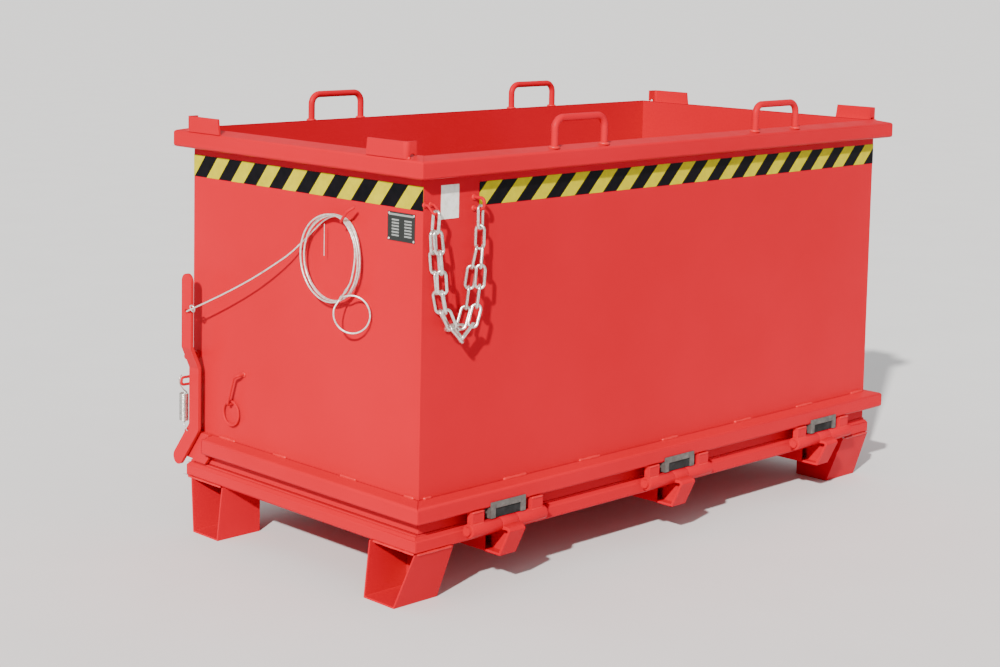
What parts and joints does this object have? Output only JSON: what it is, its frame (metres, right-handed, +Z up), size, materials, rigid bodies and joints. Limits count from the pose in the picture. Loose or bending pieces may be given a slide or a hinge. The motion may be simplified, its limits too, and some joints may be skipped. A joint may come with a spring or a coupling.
{
  "type": "hinged-floor bulk container",
  "caption": "Open-top steel bulk container whose whole floor swings down on side hinges when a corner latch lever is pulled; lifted by fork truck or by crane eyes.",
  "frame": {"origin": "middle of the bounding box at ground level, cable left out", "axes": "+Z up; X along the long side, the latch lever and its cable at the -X end; the floor hinges and the safety chain on the -Y side, the latch shaft on the +Y side"},
  "size_m": [2.1175, 1.106, 1.272],
  "materials": {
    "red_paint": "gloss enamel over folded sheet",
    "zinc_plate": "bright zinc",
    "wire_rope": "galvanised strands under a thin clear coat",
    "bare_steel": "dull grey",
    "buffer_rubber": "matt",
    "hazard_film": "yellow and black slanting stripes",
    "label_film": "blank",
    "plate_black": "satin, with blank fields"
  },
  "bodies": {
    "container": {"bearing_plate": "red_paint", "blank_label": "label_film", "bottom_rim_far_end": "red_paint", "bottom_rim_hinge_side": "red_paint", "bottom_rim_latch_side": "red_paint", "bottom_rim_lever_end": "red_paint", "buffer_frames": "bare_steel", "cable_coil": "wire_rope", "cable_ferrules": "zinc_plate", "cable_hook": "red_paint", "cable_lead": "wire_rope", "cable_loop": "wire_rope", "cable_tie": "wire_rope", "chain_hook": "red_paint", "chain_links": "zinc_plate", "chain_staple": "red_paint", "crane_eye_1": "red_paint", "crane_eye_2": "red_paint", "crane_eye_3": "red_paint", "crane_eye_4": "red_paint", "data_plate": "plate_black", "hazard_tape": "hazard_film", "hinge_mount_1": "red_paint", "hinge_mount_2": "red_paint", "hinge_mount_3": "red_paint", "hinge_pins": "red_paint", "lever_stop": "red_paint", "ring_hook": "red_paint", "rubber_buffers": "buffer_rubber", "shaft_bearings": "red_paint", "spring_eye": "red_paint", "stacking_corners": "red_paint", "top_rim_far_end": "red_paint", "top_rim_hinge_side": "red_paint", "top_rim_latch_side": "red_paint", "top_rim_lever_end": "red_paint", "wall_far_end": "red_paint", "wall_hinge_side": "red_paint", "wall_latch_side": "red_paint", "wall_lever_end": "red_paint"},
    "flap": {"flap_floor": "red_paint", "cross_beams": "red_paint", "flap_frame_far_end": "red_paint", "flap_frame_hinge_side": "red_paint", "flap_frame_latch_side": "red_paint", "flap_frame_lever_end": "red_paint", "foot_1": "red_paint", "foot_2": "red_paint", "foot_3": "red_paint", "foot_4": "red_paint", "hinge_arm_1": "red_paint", "hinge_arm_2": "red_paint", "hinge_arm_3": "red_paint"},
    "latch": {"latch_shaft": "red_paint", "latch_lever": "red_paint", "latch_claws": "red_paint", "latch_spring": "zinc_plate"},
    "ring": {"pull_ring": "red_paint"}
  },
  "joints": [
    {"name": "flap_hinge", "type": "hinge", "parent": "container", "child": "flap", "pos_m": [0.0095, -0.51375, 0.193], "axis": [1, 0, 0], "range_deg": [-88, 0]},
    {"name": "latch_turn", "type": "hinge", "parent": "container", "child": "latch", "pos_m": [0.0095, 0.51225, 0.231], "axis": [1, 0, 0], "range_deg": [0, 18], "stiffness_Nm_per_rad": 20, "springref_deg": -17.19, "deforming": ["latch_spring", "cable_lead"]},
    {"name": "ring_swing", "type": "hinge", "parent": "container", "child": "ring", "pos_m": [-0.9985, 0.30525, 0.404], "axis": [1, 0, 0], "range_deg": [-25, 25]}
  ]
}
